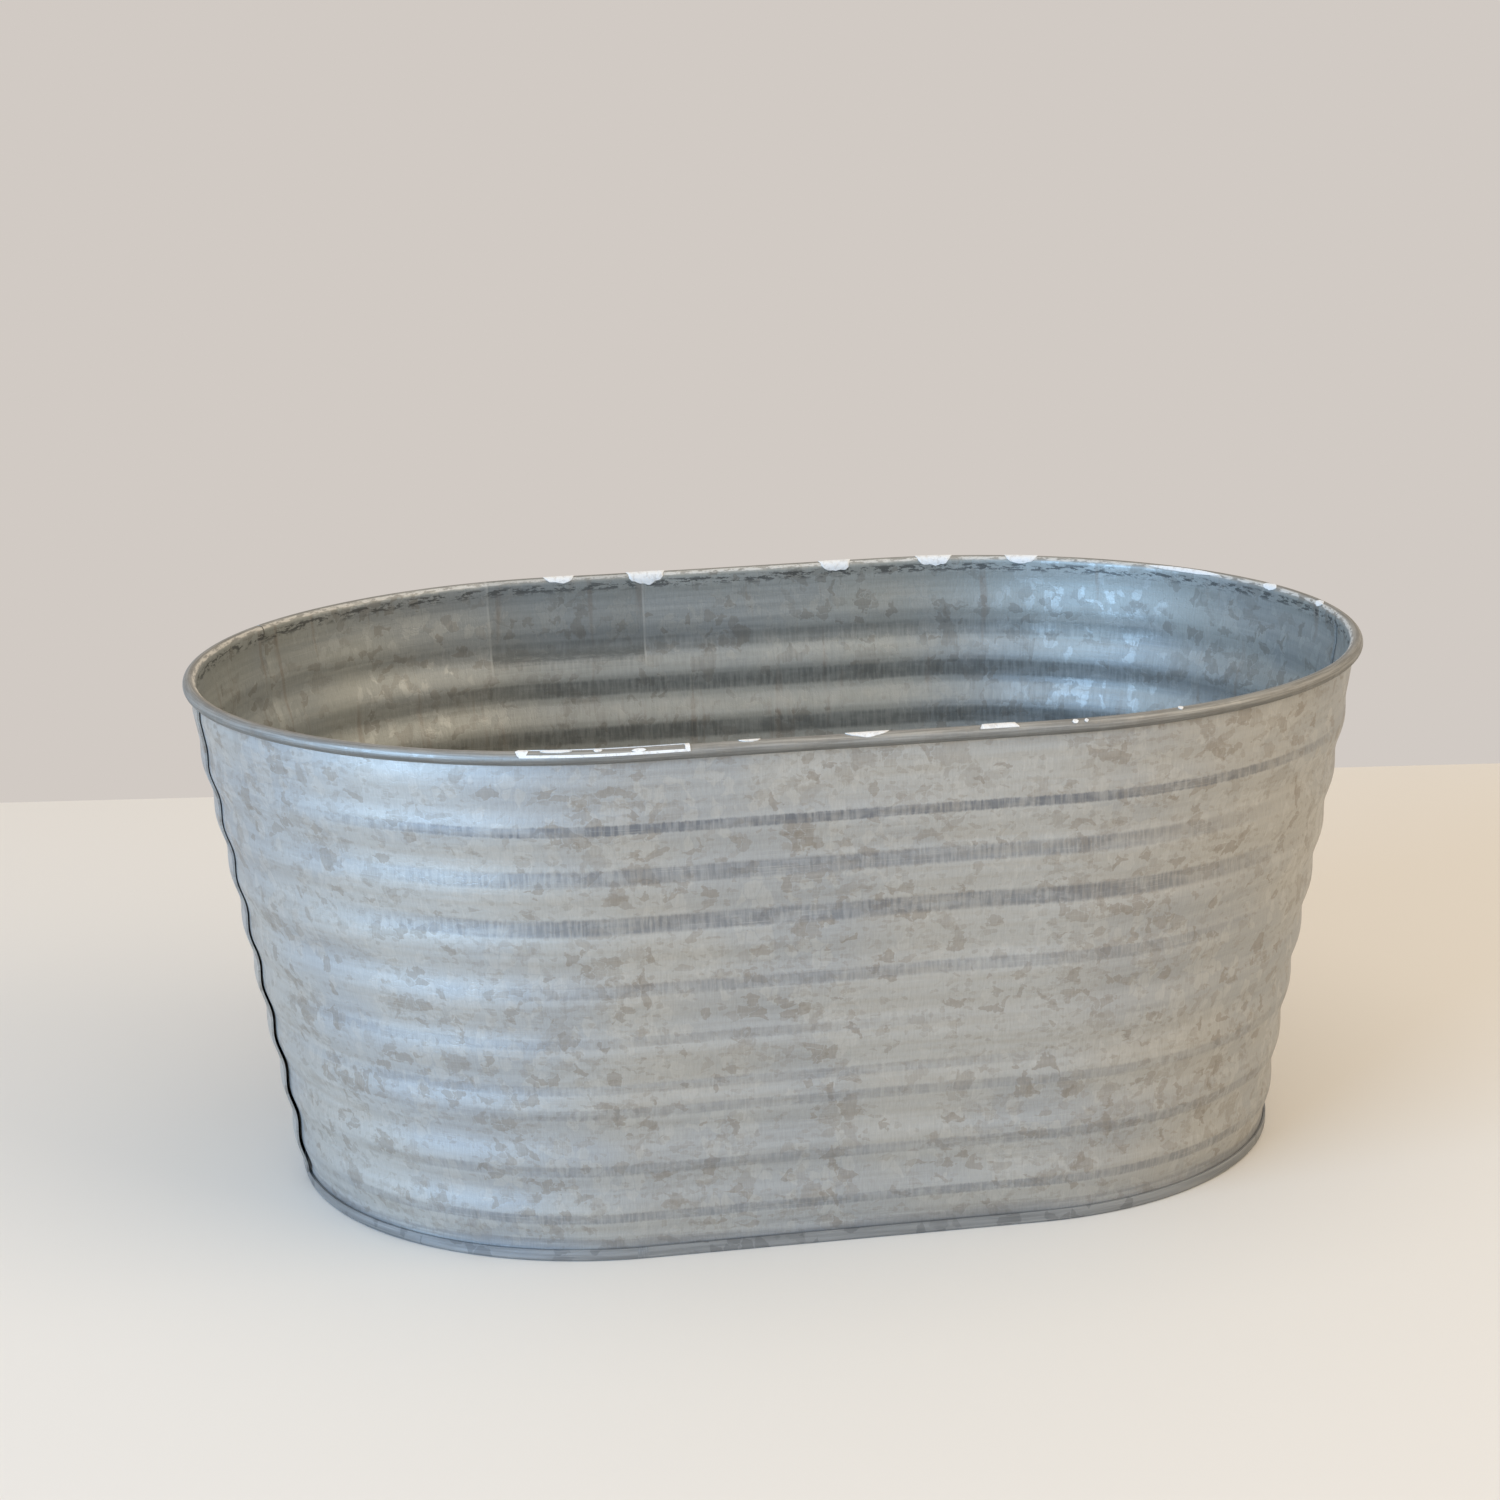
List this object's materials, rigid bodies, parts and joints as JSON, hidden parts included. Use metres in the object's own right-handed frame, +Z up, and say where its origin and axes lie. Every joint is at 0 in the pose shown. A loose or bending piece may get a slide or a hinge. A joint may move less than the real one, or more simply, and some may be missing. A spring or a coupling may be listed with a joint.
{
  "type": "galvanised trough",
  "caption": "Small oval zinc trough with ribbed, tapered walls lapped at the round ends, a rolled wired rim and a folded foot hem. It stands free and holds loose things or plant pots.",
  "frame": {"origin": "centre of the footprint, on the plane that the foot hem rests on", "axes": "+X along the trough, +Y towards the back sheet, +Z up"},
  "size_m": [0.28, 0.19, 0.1228],
  "materials": {
    "wall_sheet": "galvanised zinc with spangle, dull, lightly rubbed with a pale wash",
    "base_sheet": "galvanised zinc with spangle, dull",
    "wire": "plain steel wire"
  },
  "bodies": {
    "root": {"front_wall": "wall_sheet", "back_wall": "wall_sheet", "base_pan": "base_sheet", "rim_wire": "wire"}
  },
  "joints": []
}
